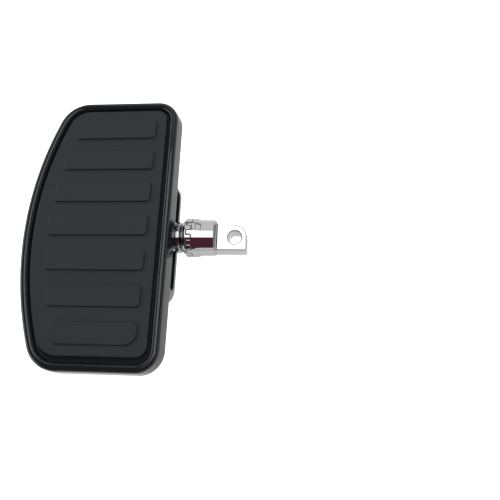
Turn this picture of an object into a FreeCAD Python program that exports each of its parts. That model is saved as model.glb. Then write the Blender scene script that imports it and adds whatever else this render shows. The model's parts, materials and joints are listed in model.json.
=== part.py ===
import FreeCAD, Part
import math
import os
from FreeCAD import Vector

# Motorcycle floorboard, left side, in millimetres.
# The origin is the centre of the clevis pin bore. +X points to the motorcycle, +Y forwards and
# +Z up, square to the deck. The board turns about the index axis, which runs along X.

# Index axis: its place beside the pin bore, and how far ahead of it the board is set
index_y = 1.5
board_setting = 0.5

# Deck pan: pressed steel tray with a raised bead and a skirt
deck_length = 202.8
deck_width = 108.0
deck_right = -44.2
side_radius = 244.5
corner_inner = 16.0
corner_outer = 24.0
sheet = 2.0
floor_under = 20.0
bead_height = 4.0
bead_crest_width = 4.8
bead_foot_width = 6.8
bead_shoulder = 2.0
bead_lean = 0.7
bead_inner_round = 1.2
tray_round = 0.5
skirt_drop = 7.4
skirt_flare = 0.8

# Tread pad: moulded rubber with raised bars
pad_gap = 1.6
pad_gap_front = 0.7
pad_gap_rear = 3.6
pad_base = 3.0
pad_corner_inner = 8.0
pad_corner_outer = 16.0
pad_edge_round = 1.2
bar_count = 7
bar_width = 15.4
bar_rise = 1.5
bar_margin_inner = 7.3
bar_margin_outer = 11.0
bar_margin_front = 9.0
bar_margin_rear = 7.8
bar_corner = 3.0
bar_end_corner = 9.0
bar_edge_round = 0.6

# Pad studs: a head moulded into the pad and a short shank in a clearance hole
stud_margin_inner = 18.3
stud_margin_side = 19.3
stud_margin_end = 19.0
stud_head_radius = 6.0
stud_head_height = 1.5
stud_shank_radius = 3.5
stud_hole_radius = 4.6
stud_recess = 1.0

# Mount bracket: one bent plate with a slotted web and two tapered arms
plate = 3.5
web_face = -46.0
bracket_setting = 1.9
bracket_margin = 63.4
bend_inner_radius = 7.5
arm_angle = 24.1
arm_length = 72.0
web_below_axis = 10.4
arm_tip_height = 4.0
taper_start = 3.0
taper_blend = 30.0
skirt_gap = 0.6
relief_inset = 7.8
slot_overrun = 1.0
slot_clearance = 0.4

# Weld runs along both sides of each arm
weld_leg = 3.2
weld_unevenness = 0.35
weld_pitch = 4.2
weld_lumps = 7
weld_start = 3.0
weld_break = 5.5
weld_phase = 2.1

# Clamp bolt: hex flange bolt
bolt_radius = 5.0
bolt_length = 30.0
bolt_end_chamfer = 1.0
flange_radius = 10.2
flange_rim = 1.0
flange_height = 2.4
hex_flats = 15.0
hex_height = 5.4
hex_chamfer = 1.0

# Spacer ring between web and collar
ring_radius = 11.8
ring_length = 5.6
ring_chamfer = 0.9
face_clearance = 0.05
bolt_clearance = 0.25

# Index coupling: twelve interlocking teeth on the collar and on the peg mount
tooth_count = 12
tooth_depth = 3.6
tooth_side_clearance = 0.3
tooth_tip_clearance = 0.3
tooth_bore_radius = 8.6
tooth_bore_depth = 4.0
tooth_round = 0.55
coupling_radius = 14.7
collar_length = 5.2
collar_neck_radius = 10.0
collar_cone_length = 4.2

# Peg mount: barrel, tongue and clevis pin bore
barrel_radius = 13.6
barrel_end = -14.4
barrel_edge_round = 0.8
flare_straight = 3.0
flare_taper = 3.6
tap_clearance = 0.1
tongue_thickness = 14.0
tongue_width = 20.0
tongue_reach = 9.0
tongue_corner = 10.0
tongue_small_corner = 0.8
tongue_root_round = 2.6
tongue_edge_round = 0.9
pin_bore_radius = 4.9

# How close two places are to count as the same
tolerance = 1e-5

# Worked-out places
deck_mid_y = index_y + board_setting
deck_left = deck_right - deck_width
floor_top = floor_under + sheet
crest = floor_top + bead_height
skirt_edge = floor_under - skirt_drop
pad_top = floor_top + pad_base
bar_top = pad_top + bar_rise
web_mid = web_face - plate / 2
web_straight = deck_length - 2 * bracket_margin
slot_length = web_straight + 2 * slot_overrun
bracket_mid_y = deck_mid_y - bracket_setting
web_inner_face = web_face - plate
bend_radius = bend_inner_radius + plate / 2
slot_radius = bolt_radius + slot_clearance
ring_start = web_face + face_clearance
collar_start = ring_start + ring_length + face_clearance
collar_tooth_root = collar_start + collar_length
collar_tooth_tip = collar_tooth_root + tooth_depth
mount_tooth_root = collar_tooth_tip + tooth_tip_clearance
mount_tooth_tip = collar_tooth_root + tooth_tip_clearance
bolt_seat = web_inner_face - face_clearance
bolt_end = bolt_seat + bolt_length


def polar(centre, radius, degrees):
    """The point at a distance and an angle from a centre, in a plane of constant Z."""
    angle = math.radians(degrees)
    return Vector(centre.x + radius * math.cos(angle), centre.y + radius * math.sin(angle), centre.z)


def arc(centre, radius, start, end):
    """A circular edge from one angle to another, by way of the angle half-way."""
    points = [polar(centre, radius, degrees) for degrees in (start, (start + end) / 2, end)]
    return Part.Arc(*points).toShape()


def line(start, end):
    return Part.LineSegment(start, end).toShape()


def deck_outline(z, right, front, rear, bulge, corner_right, corner_left):
    """The board's D outline: straight to the right, front and rear, and one large arc to the left.

    front and rear are distances from the middle line, and bulge is the left arc's radius, about the
    one centre that all these outlines share. Each left corner is the circle inside the arc that
    touches both the arc and the straight end.
    """
    arc_centre = Vector(deck_left + side_radius, deck_mid_y, z)
    y_front = deck_mid_y + front
    y_rear = deck_mid_y - rear
    right_front = Vector(right - corner_right, y_front - corner_right, z)
    right_rear = Vector(right - corner_right, y_rear + corner_right, z)
    reach = bulge - corner_left
    angle_front = 180 - math.degrees(math.asin((front - corner_left) / reach))
    angle_rear = 180 + math.degrees(math.asin((rear - corner_left) / reach))
    left_front = polar(arc_centre, reach, angle_front)
    left_rear = polar(arc_centre, reach, angle_rear)
    edges = [
        line(polar(right_rear, corner_right, 0), polar(right_front, corner_right, 0)),
        arc(right_front, corner_right, 0, 90),
        line(polar(right_front, corner_right, 90), polar(left_front, corner_left, 90)),
        arc(left_front, corner_left, 90, angle_front),
        arc(arc_centre, bulge, angle_front, angle_rear),
        arc(left_rear, corner_left, angle_rear, 270),
        line(polar(left_rear, corner_left, 270), polar(right_rear, corner_right, 270)),
        arc(right_rear, corner_right, 270, 360),
    ]
    return Part.Wire(edges)


def pan_outline(inset, z):
    """The deck's outline moved inwards by an inset."""
    half = deck_length / 2 - inset
    return deck_outline(z, deck_right - inset, half, half, side_radius - inset, corner_inner - inset,
                        corner_outer - inset)


def prism(wire, height):
    """The solid above a flat wire."""
    return Part.Face(wire).extrude(Vector(0, 0, height))


def tapered(wire_low, wire_high):
    """The solid between two outlines of the same family."""
    return Part.makeLoft([wire_low, wire_high], True, True)


def box(x0, x1, y0, y1, z0, z1):
    return Part.makeBox(x1 - x0, y1 - y0, z1 - z0, Vector(x0, y0, z0))


def edges_at_height(shape, z):
    return [edge for edge in shape.Edges if all(abs(vertex.Z - z) < tolerance for vertex in edge.Vertexes)]


def turned(profile):
    """The solid of revolution about the index axis of a profile given as (x, radius) points."""
    points = [Vector(x, index_y + radius, 0) for x, radius in profile]
    wire = Part.makePolygon(points + [points[0]])
    return Part.Face(wire).revolve(Vector(0, index_y, 0), Vector(1, 0, 0), 360)


def index_cylinder(radius, x0, x1):
    return Part.makeCylinder(radius, x1 - x0, Vector(x0, index_y, 0), Vector(1, 0, 0))


def edges_on_ring(shape, x, radius):
    """The circular edges round the index axis at one place and radius."""
    found = []
    for edge in shape.Edges:
        if edge.Curve.TypeId != "Part::GeomCircle":
            continue
        centre = edge.Curve.Center
        away = centre.distanceToPoint(Vector(x, index_y, 0))
        if away < tolerance and abs(edge.Curve.Radius - radius) < tolerance:
            found.append(edge)
    return found


# Deck pan

def flank_inset(z):
    """How far the bead's inner flank stands from the deck's edge at a height."""
    slope = (bead_foot_width - bead_crest_width) / bead_height
    return bead_crest_width + (crest - z) * slope


def make_deck_pan():
    body = tapered(pan_outline(-skirt_flare, skirt_edge), pan_outline(0, floor_under))
    body = body.fuse(tapered(pan_outline(0, floor_under), pan_outline(bead_lean, crest)))
    body = body.makeFillet(bead_shoulder, edges_at_height(body, crest))
    above = crest + sheet
    tray = tapered(pan_outline(flank_inset(floor_top), floor_top), pan_outline(flank_inset(above), above))
    body = body.cut(tray)
    body = body.makeFillet(bead_inner_round, inner_crest_edges(body))
    body = body.makeFillet(tray_round, edges_at_height(body, floor_top))
    flank = math.hypot(bead_height, bead_foot_width - bead_crest_width) / bead_height * sheet
    roof = crest - sheet
    hollow = tapered(pan_outline(sheet - skirt_flare, skirt_edge), pan_outline(sheet, floor_under))
    hollow = hollow.fuse(prism(pan_outline(sheet, floor_under), roof - floor_under))
    core = tapered(pan_outline(flank_inset(floor_under) - flank, floor_under),
                   pan_outline(flank_inset(crest) - flank, crest))
    body = body.cut(hollow.cut(core))
    for x, y in stud_places().values():
        base = Vector(x, y, floor_under - sheet / 2)
        body = body.cut(Part.makeCylinder(stud_hole_radius, 2 * sheet, base))
    return body


def inner_crest_edges(body):
    """The edges round the inside of the bead's flat crest."""
    top = [face for face in body.Faces if face.BoundBox.ZMin > crest - tolerance][0]
    return [wire for wire in top.Wires if not wire.isSame(top.OuterWire)][0].Edges


# Tread pad and its studs

def stud_places():
    """Where the four pad studs stand, by name; the outer ones keep their distance from the curved side."""
    spread = deck_length / 2 - stud_margin_end
    curved_side = deck_left + side_radius - math.sqrt(side_radius ** 2 - spread ** 2)
    columns = {"inner": deck_right - stud_margin_inner, "outer": curved_side + stud_margin_side}
    rows = {"front": deck_mid_y + spread, "rear": deck_mid_y - spread}
    return {row + "_" + column: (x, y) for row, y in rows.items() for column, x in columns.items()}


def pad_limits():
    """The pad's right edge, its front and rear edges from the middle line, and its curved side's radius."""
    inset = bead_foot_width + pad_gap
    front = deck_length / 2 - bead_foot_width - pad_gap_front
    rear = deck_length / 2 - bead_foot_width - pad_gap_rear
    return deck_right - inset, front, rear, side_radius - inset


def corner_edges(bar, corner, near):
    """The upright edges of a bar that has square corners: the one at a corner, or all the others."""
    upright = [edge for edge in bar.Edges if edge.BoundBox.ZLength > bar_rise / 2]
    return [edge for edge in upright
            if (edge.Vertexes[0].Point.distanceToPoint(corner) < 2 * bar_rise) == near]


def make_bar(right, front, rear, bulge, is_last):
    """One raised bar: straight to the right, and to the left an arc about the centre of the curved side."""
    arc_centre = Vector(deck_left + side_radius, deck_mid_y, pad_top)

    def left(y):
        return Vector(arc_centre.x - math.sqrt(bulge ** 2 - (y - deck_mid_y) ** 2), y, pad_top)

    right_front = Vector(right, front, pad_top)
    right_rear = Vector(right, rear, pad_top)
    middle = left((front + rear) / 2)
    wire = Part.Wire([line(right_rear, right_front), line(right_front, left(front)),
                      Part.Arc(left(front), middle, left(rear)).toShape(), line(left(rear), right_rear)])
    bar = prism(wire, bar_rise)
    bar = bar.makeFillet(bar_corner, corner_edges(bar, right_rear, False))
    bar = bar.makeFillet(bar_end_corner if is_last else bar_corner, corner_edges(bar, right_rear, True))
    return bar.makeFillet(bar_edge_round, edges_at_height(bar, bar_top))


def make_bars():
    """The row of raised bars, evenly spaced between the pad's front and rear margins."""
    right, front, rear, bulge = pad_limits()
    first = deck_mid_y + front - bar_margin_front
    last = deck_mid_y - rear + bar_margin_rear + bar_width
    pitch = (first - last) / (bar_count - 1)
    bars = []
    for index in range(bar_count):
        high = first - pitch * index
        bars.append(make_bar(right - bar_margin_inner, high, high - bar_width, bulge - bar_margin_outer,
                             index == bar_count - 1))
    return bars


def make_tread_pad():
    right, front, rear, bulge = pad_limits()
    outline = deck_outline(floor_top, right, front, rear, bulge, pad_corner_inner, pad_corner_outer)
    pad = prism(outline, pad_base)
    pad = pad.makeFillet(pad_edge_round, edges_at_height(pad, pad_top))
    pad = pad.fuse(make_bars())
    for x, y in stud_places().values():
        pad = pad.cut(Part.makeCylinder(stud_head_radius, stud_head_height, Vector(x, y, floor_top)))
    return pad


def make_pad_stud(x, y):
    shank_end = floor_under + stud_recess
    head = Part.makeCylinder(stud_head_radius, stud_head_height, Vector(x, y, floor_top))
    shank = Part.makeCylinder(stud_shank_radius, floor_top - shank_end, Vector(x, y, shank_end))
    return head.fuse(shank).removeSplitter()


# Mount bracket

def arm_frame(side):
    """One arm's bend centre, and its start, direction and outward normal; side is 1 front, -1 rear."""
    turn = 90 - arm_angle
    centre = Vector(web_mid - bend_radius, bracket_mid_y + side * web_straight / 2, 0)
    start = polar(centre, bend_radius, side * turn)
    angle = math.radians(arm_angle)
    direction = Vector(-math.cos(angle), side * math.sin(angle), 0)
    normal = Vector(math.sin(angle), side * math.cos(angle), 0)
    return centre, start, direction, normal


def bracket_plan():
    """The plate seen from above: the web, two bends and two arms, as one closed wire."""
    turn = 90 - arm_angle
    outer = []
    inner = []
    for side in (1, -1):
        centre, start, direction, normal = arm_frame(side)
        half = normal * (plate / 2)
        tip = start + direction * arm_length
        outer.append((centre, start + half, tip + half))
        inner.append((centre, start - half, tip - half))
    r_out = bend_radius + plate / 2
    r_in = bend_radius - plate / 2
    return Part.Wire([
        line(outer[0][2], outer[0][1]),
        arc(outer[0][0], r_out, turn, 0),
        line(polar(outer[0][0], r_out, 0), polar(outer[1][0], r_out, 0)),
        arc(outer[1][0], r_out, 0, -turn),
        line(outer[1][1], outer[1][2]),
        line(outer[1][2], inner[1][2]),
        line(inner[1][2], inner[1][1]),
        arc(inner[1][0], r_in, -turn, 0),
        line(polar(inner[1][0], r_in, 0), polar(inner[0][0], r_in, 0)),
        arc(inner[0][0], r_in, 0, turn),
        line(inner[0][1], inner[0][2]),
        line(inner[0][2], outer[0][2]),
    ])


def arm_taper(side):
    """What is cut from an arm so that its free edge runs up to a low tip.

    The cut is drawn in the arm's own plane: level along the web's edge, an arc, then a straight slope.
    """
    start, direction, normal = arm_frame(side)[1:]
    low = -web_below_axis
    rise = floor_under - arm_tip_height - low
    slope = math.atan2(rise, arm_length - taper_start)
    tangent = taper_blend * math.tan(slope / 2)
    past = arm_length + plate

    def place(along, z):
        point = start + direction * along - normal * (2 * plate)
        return Vector(point.x, point.y, z)

    corner = taper_start
    level_end = place(corner - tangent, low)
    slope_start = place(corner + tangent * math.cos(slope), low + tangent * math.sin(slope))
    middle = place(corner - tangent + taper_blend * math.sin(slope / 2),
                   low + taper_blend * (1 - math.cos(slope / 2)))
    tip = place(past, low + (past - corner) * math.tan(slope))
    floor = place(past, low - plate)
    back = place(corner - tangent, low - plate)
    wire = Part.Wire([Part.Arc(level_end, middle, slope_start).toShape(), line(slope_start, tip),
                      line(tip, floor), line(floor, back), line(back, level_end)])
    return Part.Face(wire).extrude(normal * (4 * plate))


def make_mount_bracket():
    low = -web_below_axis
    body = prism(bracket_plan(), floor_under - low)
    body.translate(Vector(0, 0, low))
    half = deck_length / 2
    relief = box(deck_right - relief_inset, deck_right + skirt_flare, deck_mid_y - half, deck_mid_y + half,
                 skirt_edge - skirt_gap, floor_under + plate)
    body = body.cut(relief)
    for side in (1, -1):
        body = body.cut(arm_taper(side))
    reach = slot_length / 2 - slot_radius
    slot = box(web_face - 2 * plate, web_face + plate, bracket_mid_y - reach, bracket_mid_y + reach,
               -slot_radius, slot_radius)
    for side in (1, -1):
        end = Vector(web_face - 2 * plate, bracket_mid_y + side * reach, 0)
        slot = slot.fuse(Part.makeCylinder(slot_radius, 3 * plate, end, Vector(1, 0, 0)))
    return body.cut(slot.removeSplitter())


def make_weld(side, face, run):
    """A weld run in the corner between an arm and the deck's underside.

    It is a row of overlapping round lumps, kept to the open quarter between plate and sheet. face is 1
    on the arm's outward side and -1 inside; run counts from the web.
    """
    start, direction, normal = arm_frame(side)[1:]
    outwards = normal * face
    foot = start + outwards * (plate / 2)
    first = weld_start + run * (weld_pitch * (weld_lumps - 1) + 2 * weld_leg + weld_break)
    lumps = []
    for index in range(weld_lumps):
        along = first + weld_pitch * index
        radius = weld_leg + weld_unevenness * math.sin(weld_phase * index + face + 2 * run + side)
        centre = foot + direction * along
        lumps.append(Part.makeSphere(radius, Vector(centre.x, centre.y, floor_under)))
    bead = lumps[0].fuse(lumps[1:])
    margin = 2 * weld_leg
    corner = foot + direction * (first - margin)
    length = weld_pitch * (weld_lumps - 1) + 2 * margin
    base = Vector(corner.x, corner.y, floor_under - margin)
    along_edge = direction * length
    quarter = Part.Face(Part.makePolygon([base, base + along_edge, base + along_edge + outwards * margin,
                                          base + outwards * margin, base])).extrude(Vector(0, 0, margin))
    return bead.common(quarter).removeSplitter()


# Clamp bolt and spacer ring

def make_clamp_bolt():
    flange_top = bolt_seat - flange_height
    head_top = flange_top - hex_height
    corner_radius = hex_flats / math.sqrt(3)
    hexagon = [Vector(head_top, index_y + corner_radius * math.sin(math.radians(60 * step)),
                      corner_radius * math.cos(math.radians(60 * step))) for step in range(7)]
    head = Part.Face(Part.makePolygon(hexagon)).extrude(Vector(hex_height + flange_height / 2, 0, 0))
    chamfered = turned([(head_top, 0), (head_top, hex_flats / 2), (head_top + hex_chamfer, corner_radius),
                        (bolt_seat, corner_radius), (bolt_seat, 0)])
    head = head.common(chamfered)
    flange = turned([(flange_top, 0), (flange_top, hex_flats / 2), (bolt_seat - flange_rim, flange_radius),
                     (bolt_seat, flange_radius), (bolt_seat, 0)])
    shank = turned([(bolt_seat, 0), (bolt_seat, bolt_radius), (bolt_end - bolt_end_chamfer, bolt_radius),
                    (bolt_end, bolt_radius - bolt_end_chamfer), (bolt_end, 0)])
    return head.fuse([flange, shank]).removeSplitter()


def make_spacer_ring():
    ring_end = ring_start + ring_length
    ring = index_cylinder(ring_radius, ring_start, ring_end)
    rims = edges_on_ring(ring, ring_start, ring_radius) + edges_on_ring(ring, ring_end, ring_radius)
    ring = ring.makeChamfer(ring_chamfer, rims)
    return ring.cut(index_cylinder(bolt_radius + bolt_clearance, ring_start, ring_end))


# Index coupling

def tooth_gaps(x0, x1, phase, shrink):
    """The wedges cut between teeth, from the axis outwards; shrink widens each at its sides."""
    reach = coupling_radius + tooth_depth
    half = 90 / tooth_count
    gaps = []
    for index in range(tooth_count):
        middle = 360 / tooth_count * index + phase
        spread = math.radians(half)
        shift = shrink / math.sin(spread)
        turn = math.radians(middle)
        radial = Vector(0, math.cos(turn), math.sin(turn))
        apex = Vector(x0, index_y, 0) - radial * shift
        far = (reach + shift) / math.cos(spread)
        corners = [apex]
        for edge_turn in (turn - spread, turn + spread):
            corners.append(apex + Vector(0, math.cos(edge_turn), math.sin(edge_turn)) * far)
        wire = Part.makePolygon(corners + [apex])
        gaps.append(Part.Face(wire).extrude(Vector(x1 - x0, 0, 0)))
    return gaps


def round_teeth(shape, root, tip):
    """Rounds the long edges at the foot and the tip of every tooth."""
    radial = []
    for edge in shape.Edges:
        bounds = edge.BoundBox
        at_end = min(abs(bounds.XMin - root), abs(bounds.XMin - tip)) < tolerance
        if at_end and bounds.XLength < tolerance and edge.Curve.TypeId == "Part::GeomLine":
            radial.append(edge)
    return shape.makeFillet(tooth_round, radial)


def make_index_collar():
    cone_end = collar_start + collar_cone_length
    body = turned([(collar_start, 0), (collar_start, collar_neck_radius), (cone_end, coupling_radius),
                   (collar_tooth_tip, coupling_radius), (collar_tooth_tip, 0)])
    bore_start = collar_tooth_tip - tooth_bore_depth
    body = body.cut(index_cylinder(tooth_bore_radius, bore_start, collar_tooth_tip))
    body = body.cut(tooth_gaps(collar_tooth_root, collar_tooth_tip, 0, tooth_side_clearance / 2))
    body = round_teeth(body, collar_tooth_root, collar_tooth_tip)
    return body.cut(index_cylinder(bolt_radius + bolt_clearance, collar_start, collar_tooth_tip))


def make_peg_mount():
    flare_end = mount_tooth_root + flare_straight
    taper_end = flare_end + flare_taper
    body = turned([(mount_tooth_tip, 0), (mount_tooth_tip, coupling_radius), (flare_end, coupling_radius),
                   (taper_end, barrel_radius), (barrel_end, barrel_radius), (barrel_end, 0)])
    body = body.makeFillet(barrel_edge_round, edges_on_ring(body, barrel_end, barrel_radius))
    body = body.cut(index_cylinder(tooth_bore_radius, mount_tooth_tip, mount_tooth_tip + tooth_bore_depth))
    phase = 180 / tooth_count
    body = body.cut(tooth_gaps(mount_tooth_tip, mount_tooth_root, phase, tooth_side_clearance / 2))
    body = round_teeth(body, mount_tooth_root, mount_tooth_tip)
    body = body.fuse([make_tongue(), make_tongue_root()]).removeSplitter()
    bolt_hole = index_cylinder(bolt_radius + tap_clearance, mount_tooth_tip, bolt_end + bolt_end_chamfer)
    return body.cut(bolt_hole)


def make_tongue():
    """The flat tongue: nearly square to the rear and rounded about the pin bore to the front."""
    half = tongue_width / 2
    low = -tongue_thickness / 2
    root = barrel_end - tongue_root_round
    front = Vector(tongue_reach - tongue_corner, half - tongue_corner, low)
    rear = Vector(tongue_reach - tongue_small_corner, tongue_small_corner - half, low)
    wire = Part.Wire([
        line(Vector(root, -half, low), polar(rear, tongue_small_corner, 270)),
        arc(rear, tongue_small_corner, 270, 360),
        line(polar(rear, tongue_small_corner, 0), polar(front, tongue_corner, 0)),
        arc(front, tongue_corner, 0, 90),
        line(polar(front, tongue_corner, 90), Vector(root, half, low)),
        line(Vector(root, half, low), Vector(root, -half, low)),
    ])
    bore = Part.makeCylinder(pin_bore_radius, tongue_thickness, Vector(0, 0, low))
    tongue = prism(wire, tongue_thickness).cut(bore)
    rims = edges_at_height(tongue, low) + edges_at_height(tongue, -low)
    return tongue.makeFillet(tongue_edge_round, [edge for edge in rims if edge.BoundBox.XMax > barrel_end])


def make_tongue_root():
    """The concave root between the tongue's faces and the barrel's end, kept inside the barrel."""
    half = tongue_width / 2
    up = tongue_thickness / 2 + tongue_root_round
    start = barrel_end - tongue_root_round
    end = barrel_end + tongue_root_round
    block = box(start, end, -half, half + tongue_root_round, -up, up)
    for side in (1, -1):
        base = Vector(end, -tongue_width, side * up)
        block = block.cut(Part.makeCylinder(tongue_root_round, 2 * tongue_width, base, Vector(0, 1, 0)))
    base = Vector(end, half + tongue_root_round, -up)
    block = block.cut(Part.makeCylinder(tongue_root_round, 2 * up, base))
    return block.common(index_cylinder(barrel_radius - barrel_edge_round, start, end))


os.makedirs("parts", exist_ok=True)
nodes = {
    "deck_pan": make_deck_pan(),
    "tread_pad": make_tread_pad(),
    "mount_bracket": make_mount_bracket(),
    "spacer_ring": make_spacer_ring(),
    "index_collar": make_index_collar(),
    "peg_mount": make_peg_mount(),
    "clamp_bolt": make_clamp_bolt(),
}
for place, (x, y) in stud_places().items():
    nodes["pad_stud_" + place] = make_pad_stud(x, y)
for end, side in (("front", 1), ("rear", -1)):
    for flank, face in (("outside", 1), ("inside", -1)):
        for run in (0, 1):
            nodes["weld_" + end + "_" + flank + "_" + str(run + 1)] = make_weld(side, face, run)

for name, shape in nodes.items():
    if len(shape.Solids) != 1 or not shape.isValid():
        raise RuntimeError(name + " is not one valid solid")
    shape.Solids[0].exportStep("parts/" + name + ".step")
    print(name, round(shape.Volume, 1))
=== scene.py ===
import json
import math

import bmesh
import bpy
import numpy as np
from mathutils import Matrix, Vector
from mathutils.geometry import tessellate_polygon


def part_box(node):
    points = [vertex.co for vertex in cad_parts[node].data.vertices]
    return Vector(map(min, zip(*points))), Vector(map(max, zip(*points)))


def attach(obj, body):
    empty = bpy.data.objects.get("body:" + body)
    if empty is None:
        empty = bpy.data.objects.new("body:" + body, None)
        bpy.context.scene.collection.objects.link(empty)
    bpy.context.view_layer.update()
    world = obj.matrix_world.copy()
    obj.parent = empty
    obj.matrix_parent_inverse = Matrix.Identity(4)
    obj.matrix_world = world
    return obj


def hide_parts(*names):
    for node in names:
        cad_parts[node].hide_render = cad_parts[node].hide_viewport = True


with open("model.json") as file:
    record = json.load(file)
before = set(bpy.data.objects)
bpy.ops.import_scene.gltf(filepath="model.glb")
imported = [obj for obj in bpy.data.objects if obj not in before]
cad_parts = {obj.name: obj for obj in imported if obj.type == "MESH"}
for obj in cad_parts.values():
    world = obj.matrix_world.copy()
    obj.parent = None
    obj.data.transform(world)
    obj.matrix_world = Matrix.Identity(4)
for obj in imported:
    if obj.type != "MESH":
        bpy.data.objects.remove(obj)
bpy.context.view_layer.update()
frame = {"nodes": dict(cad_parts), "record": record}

NODES = frame["nodes"]

bl_info = {
    "name": "Motorcycle Floorboard",
    "version": (1, 0, 0),
    "blender": (4, 5, 0),
    "location": "View3D > Sidebar > Floorboard",
    "description": "Builds the pieces and the finishes of a motorcycle floorboard",
    "category": "Add Mesh",
}

MM = 0.001


# Sizes of the made surfaces that the panel leaves out

MERGE_DISTANCE = 0.001 * MM           # points closer than this are one
SHARP_ANGLE = math.radians(35)        # edges that turn more than this are shaded sharp
CORNER_STEPS = 20                     # steps of a corner arc in the board's outline
SIDE_STEPS = 64                       # steps of the curved side
SECTION_STEPS = 8                     # steps of an arc in the pan's and the pad's sections
HOLE_STEPS = 32
TURNED_STEPS = 96

STUD_HOLE = 4.6 * MM                  # radius of the pan's holes for the pad studs
FLOOR_RUN = 2.6 * MM                  # how far the pan's section runs on inside the bead's foot
UNDER_FOOT_ROUND = 1.2 * MM           # radius under the bead's foot
GROOVE_INNER_ROUND = 0.7 * MM         # radii of the groove under the bead
GROOVE_OUTER_ROUND = 0.6 * MM
SKIRT_INNER_BEND = 4.0 * MM           # radius inside the skirt, where it starts to flare
SKIRT_EDGE_ROUND = 0.6 * MM           # radius of both corners of the skirt's edge
SKIRT_OUTER_BEND = 30.0 * MM          # radius outside the skirt at its knee
SKIRT_KNEE_SHARE = 0.25               # share of the flare that is reached at the knee
SKIRT_KNEE_DROP = 1.6 * MM            # how far the knee lies below the floor's underside
BEAD_OUTER_BEND = 24.0 * MM           # radius of the bead's outer side at its knee
BEAD_KNEE_SHARE = 0.35                # share of the bead's lean that is reached at the knee
BEAD_KNEE_RISE = 0.6 * MM             # how far the knee lies above the floor
BEAD_INNER_ROUND = 2.4 * MM           # radius of the bead's inner shoulder
FOOT_FILLET = 0.5 * MM                # fillet between the bead and the floor

PAD_CORNER_INNER = 8.0 * MM
PAD_CORNER_OUTER = 16.0 * MM
PAD_UNDER_RUN = 3.0 * MM              # how far the pad's section runs in underneath and on top
PAD_TOP_RUN = 3.5 * MM
PAD_UNDER_ROUND = 0.3 * MM            # radii of the pad's lower and upper edge
PAD_TOP_ROUND = 1.2 * MM
BAR_FOOT_RUN = 1.2 * MM               # how far a bar's section starts outside the bar
BAR_DRAFT = 0.25 * MM                 # how far a bar's side leans in
BAR_TOP_RUN = 2.4 * MM                # how far the section runs in on top, less than a corner's radius
BAR_ROOT_FILLET = 0.5 * MM
BAR_EDGE_ROUND = 0.7 * MM
BAR_MARGIN_FRONT = 9.0 * MM           # from the pad's edges to the region of the bars
BAR_MARGIN_REAR = 7.8 * MM
BAR_MARGIN_RIGHT = 7.3 * MM
BAR_MARGIN_LEFT = 10.2 * MM
BAR_CORNER_RIGHT = 3.0 * MM
BAR_CORNER_LEFT = 2.6 * MM
LAST_BAR_CORNER = 9.0 * MM            # the rearmost bar's rear right corner
BAR_CORNER_STEPS = 10

TOOTH_STEP = 0.4 * MM                 # longest step along the toothed line
TOOTH_CORNER_STEPS = 5
TOOTH_EDGE_RINGS = 6                  # rings over the teeth's rounded edge
COLLAR_ROUND = 0.5 * MM               # radius of the collar's turned corners
FLARE_ROUND = 4.0 * MM                # radius of the bends at the mount's flare
BARREL_RUN = 4.0 * MM                 # how far past its taper the barrel is made; the rest is the frame's
RING_ROUND = 1.0 * MM                 # radius of the spacer ring's outer corners
RING_BORE_ROUND = 0.2 * MM            # and of the corners at its bore
FLAT_ANGLE = math.radians(0.5)        # faces of the plate that turn less than this are one flat face
PLATE_EDGE_ANGLE = math.radians(50)   # edges of the plate that turn more than this are eased


# The stage, in metres; the lights' power, the lens and the floor's depth are in the panel

OVERHEAD_PLACE, OVERHEAD_AIM, OVERHEAD_SIZE = (0.09, 0.15, 0.90), (0.09, 0.15, 0.0), (0.75, 0.74)
SIDE_PLACE, SIDE_AIM, SIDE_SIZE = (-0.7, 0.5, 0.75), (-0.1, 0.0, 0.0), (0.3, 0.3)
FLOOR_REACH = 6.0
FLOOR_WHITE = (0.9, 0.9, 0.9, 1.0)
FLOOR_ROUGHNESS = 0.9
FLOOR_GLOW = 0.3                      # the floor's own light for every ray
FLOOR_SHOWN = 0.8                     # and what it adds for the camera

# Cards that only reflections see. The flags keep the white room out of the paint and leave an opening that
# gives the chrome its white band. The maroon cards give the chrome its dark red band. The card low on the
# right dims the turn from the bead to the skirt, and the left card lights the bead's left side.
FLAG_COLOUR = (0.04, 0.04, 0.042)
MAROON_COLOUR = (0.12, 0.03, 0.05)
FLOOR_CARD_COLOUR = (0.3, 0.3, 0.3)
LEFT_CARD_COLOUR = (1.7, 1.85, 2.0)
FLAG_HEIGHT = 1.1
MAROON_HEIGHT = 1.05
FLOOR_CARD_HEIGHT = -0.115
LEVEL_CARDS = [                       # name, colour, height and corners (x, y)
    ("flag_front", FLAG_COLOUR, FLAG_HEIGHT, [(-4, -8), (3, -8), (3, 0.69), (-4, 0.69)]),
    ("flag_left", FLAG_COLOUR, FLAG_HEIGHT,
     [(-4, 0.69), (-0.36, 0.69), (-0.36, 1.0), (-0.8, 1.0), (-0.8, 2.5), (-4, 2.5)]),
    ("flag_rear", FLAG_COLOUR, FLAG_HEIGHT, [(0, 0.69), (0.15, 0.69), (0.15, 8), (-1.28, 8)]),
    ("flag_right", FLAG_COLOUR, FLAG_HEIGHT, [(0.8, 0.69), (3, 0.69), (3, 8), (0.8, 8)]),
    ("maroon_card", MAROON_COLOUR, MAROON_HEIGHT,
     [(-0.34, -0.30), (-0.36, -1.0), (-1.95, -8), (-1.0, -8), (-0.2, -1.0), (-0.13, -0.30)]),
    ("maroon_card_right", MAROON_COLOUR, MAROON_HEIGHT,
     [(0.12, -4), (1.5, -4), (1.5, -0.30), (0.12, -0.30)]),
    ("right_floor_card", FLOOR_CARD_COLOUR, FLOOR_CARD_HEIGHT,
     [(0.2, -1.2), (1.5, -1.2), (1.5, 1.2), (0.2, 1.2)]),
]
LEFT_CARD_X = -1.5
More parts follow.
